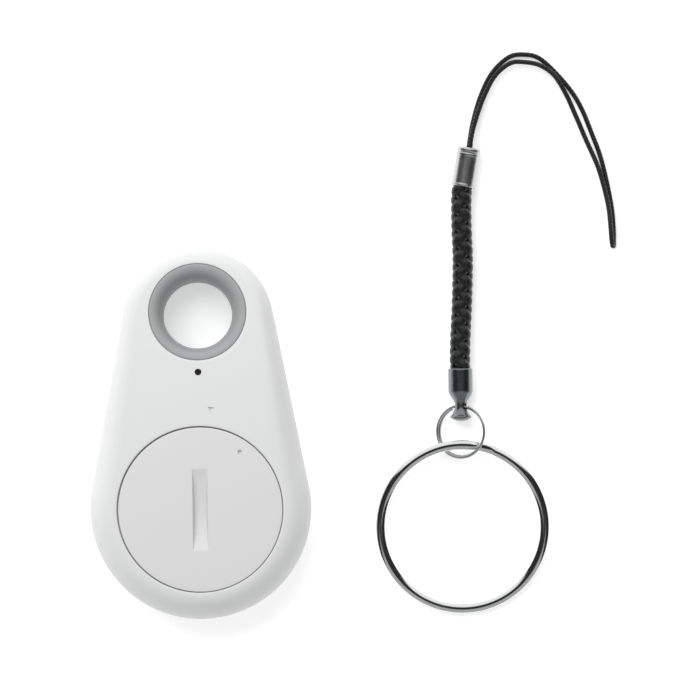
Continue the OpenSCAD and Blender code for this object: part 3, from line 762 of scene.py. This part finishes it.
warp = wires.node("GeometryNodeTransform", None,
                  {"Geometry": wires, "Rotation": (0, 0, math.pi / 2), "Scale": (1, 1, -1)})
both = wires.node("GeometryNodeJoinGeometry")
for part in (wires, warp):
    weave.links.new(part.socket, both.socket.node.inputs[0])
round_wire = both.node("GeometryNodeCurvePrimitiveCircle", {"mode": "RADIUS"},
                       {"Resolution": 8, "Radius": given["Wire"] / 2})
mesh_wires = both.node("GeometryNodeCurveToMesh", None,
                       {"Curve": both, "Profile Curve": round_wire, "Fill Caps": True})
mesh_wires = both.node("GeometryNodeTransform", None,
                       {"Geometry": mesh_wires, "Translation": (0, port_y * MM, mesh_z * MM)})
close_tree(mesh_wires, given["Finish"])

woven_steel, spot = new_finish("woven_steel")
seal(spot, Base_Color=(0.55, 0.55, 0.54, 1), Metallic=1.0, Roughness=0.25 + 0.2 * spot.cloud(4000))
sound_mesh = grown("woven_disc", path_curve([(-mesh_r, 0, 0), (mesh_r, 0, 0)]), weave, Pitch=0.21,
                   Wire=0.07, Reach=mesh_r, Finish=woven_steel)
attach(sound_mesh, "tag")
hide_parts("sound_mesh")

# ---- Button ---------------------------------------------------------------------------------
# A round white cap, let into the flat front and slightly dished for a fingertip. A flange behind
# the front keeps it in, and its stem carries the black plunger down onto the switch.

dish_r, dish_deep, face_z = 5.5, 0.18, 0.15
dish = [(r, face_z + dish_deep * (1 - (r / dish_r) ** 2)) for r in np.linspace(0, dish_r, 12)]
flange_r, flange_low, flange_top, stem_r = 6.8, 1.05, 1.55, 1.3
cap_edge = [(5.75, face_z), (5.86, 0.19), (5.92, 0.28), (5.92, flange_low), (flange_r, flange_low),
            (flange_r, flange_top), (stem_r, flange_top)]
foot_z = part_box("button_cap")[1].z / MM
button_shape = dish + cap_edge + [(stem_r, foot_z), (0, foot_z)]
button = turned("button_face", button_shape, (*body_at, 0), (0, 0, 1), satin_white, 144)
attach(button, "button")
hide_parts("button_cap")

# ---- Board, cell and small fittings ---------------------------------------------------------
# What the case hides keeps its moulded or stamped shape from the frame and gets its own finish:
# a green board with its parts, a coin cell in its holder, sprung contacts and two screws.


def finished(node, low, high, scale, rough, metal=0.0, relief=0.003, **more):
    """A finish for one of the frame's own pieces, mottled between two colours."""
    finish, spot = new_finish(node + "_finish")
    patch = spot.cloud(scale)
    seal(spot, Base_Color=patch.tone((*low, 1), (*high, 1)), Metallic=metal,
         Roughness=rough + 0.1 * patch, Normal=spot.cloud(3000).bump(relief), **more)
    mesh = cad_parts[node].data
    if not mesh.materials:
        mesh.materials.append(finish)
    for place in range(len(mesh.materials)):
        mesh.materials[place] = finish


finished("circuit_board", (0.01, 0.09, 0.04), (0.02, 0.16, 0.07), 500, 0.3)
for node in ("bluetooth_chip", "tact_switch", "button_plunger", "buzzer"):
    finished(node, (0.012, 0.012, 0.013), (0.03, 0.03, 0.032), 1200, 0.45)
finished("cell_holder", (0.28, 0.29, 0.29), (0.34, 0.35, 0.35), 300, 0.45)
finished("cell_gasket", (0.02, 0.02, 0.02), (0.035, 0.035, 0.035), 800, 0.6)
for node in ("crystal", "cell_can", "cell_cap", "case_screws"):
    finished(node, (0.52, 0.52, 0.51), (0.64, 0.64, 0.62), 700, 0.2, 1.0)
for node in ("positive_contact", "negative_contact"):
    finished(node, (0.75, 0.53, 0.22), (0.86, 0.64, 0.3), 700, 0.2, 1.0)
finished("chip_antenna", (0.7, 0.7, 0.66), (0.8, 0.8, 0.76), 900, 0.4)
finished("chip_parts", (0.38, 0.26, 0.16), (0.5, 0.36, 0.23), 900, 0.4)
for node in ("led", "light_pipe"):
    finished(node, (0.85, 0.86, 0.86), (0.92, 0.93, 0.93), 900, 0.08, Transmission_Weight=0.7, IOR=1.49)
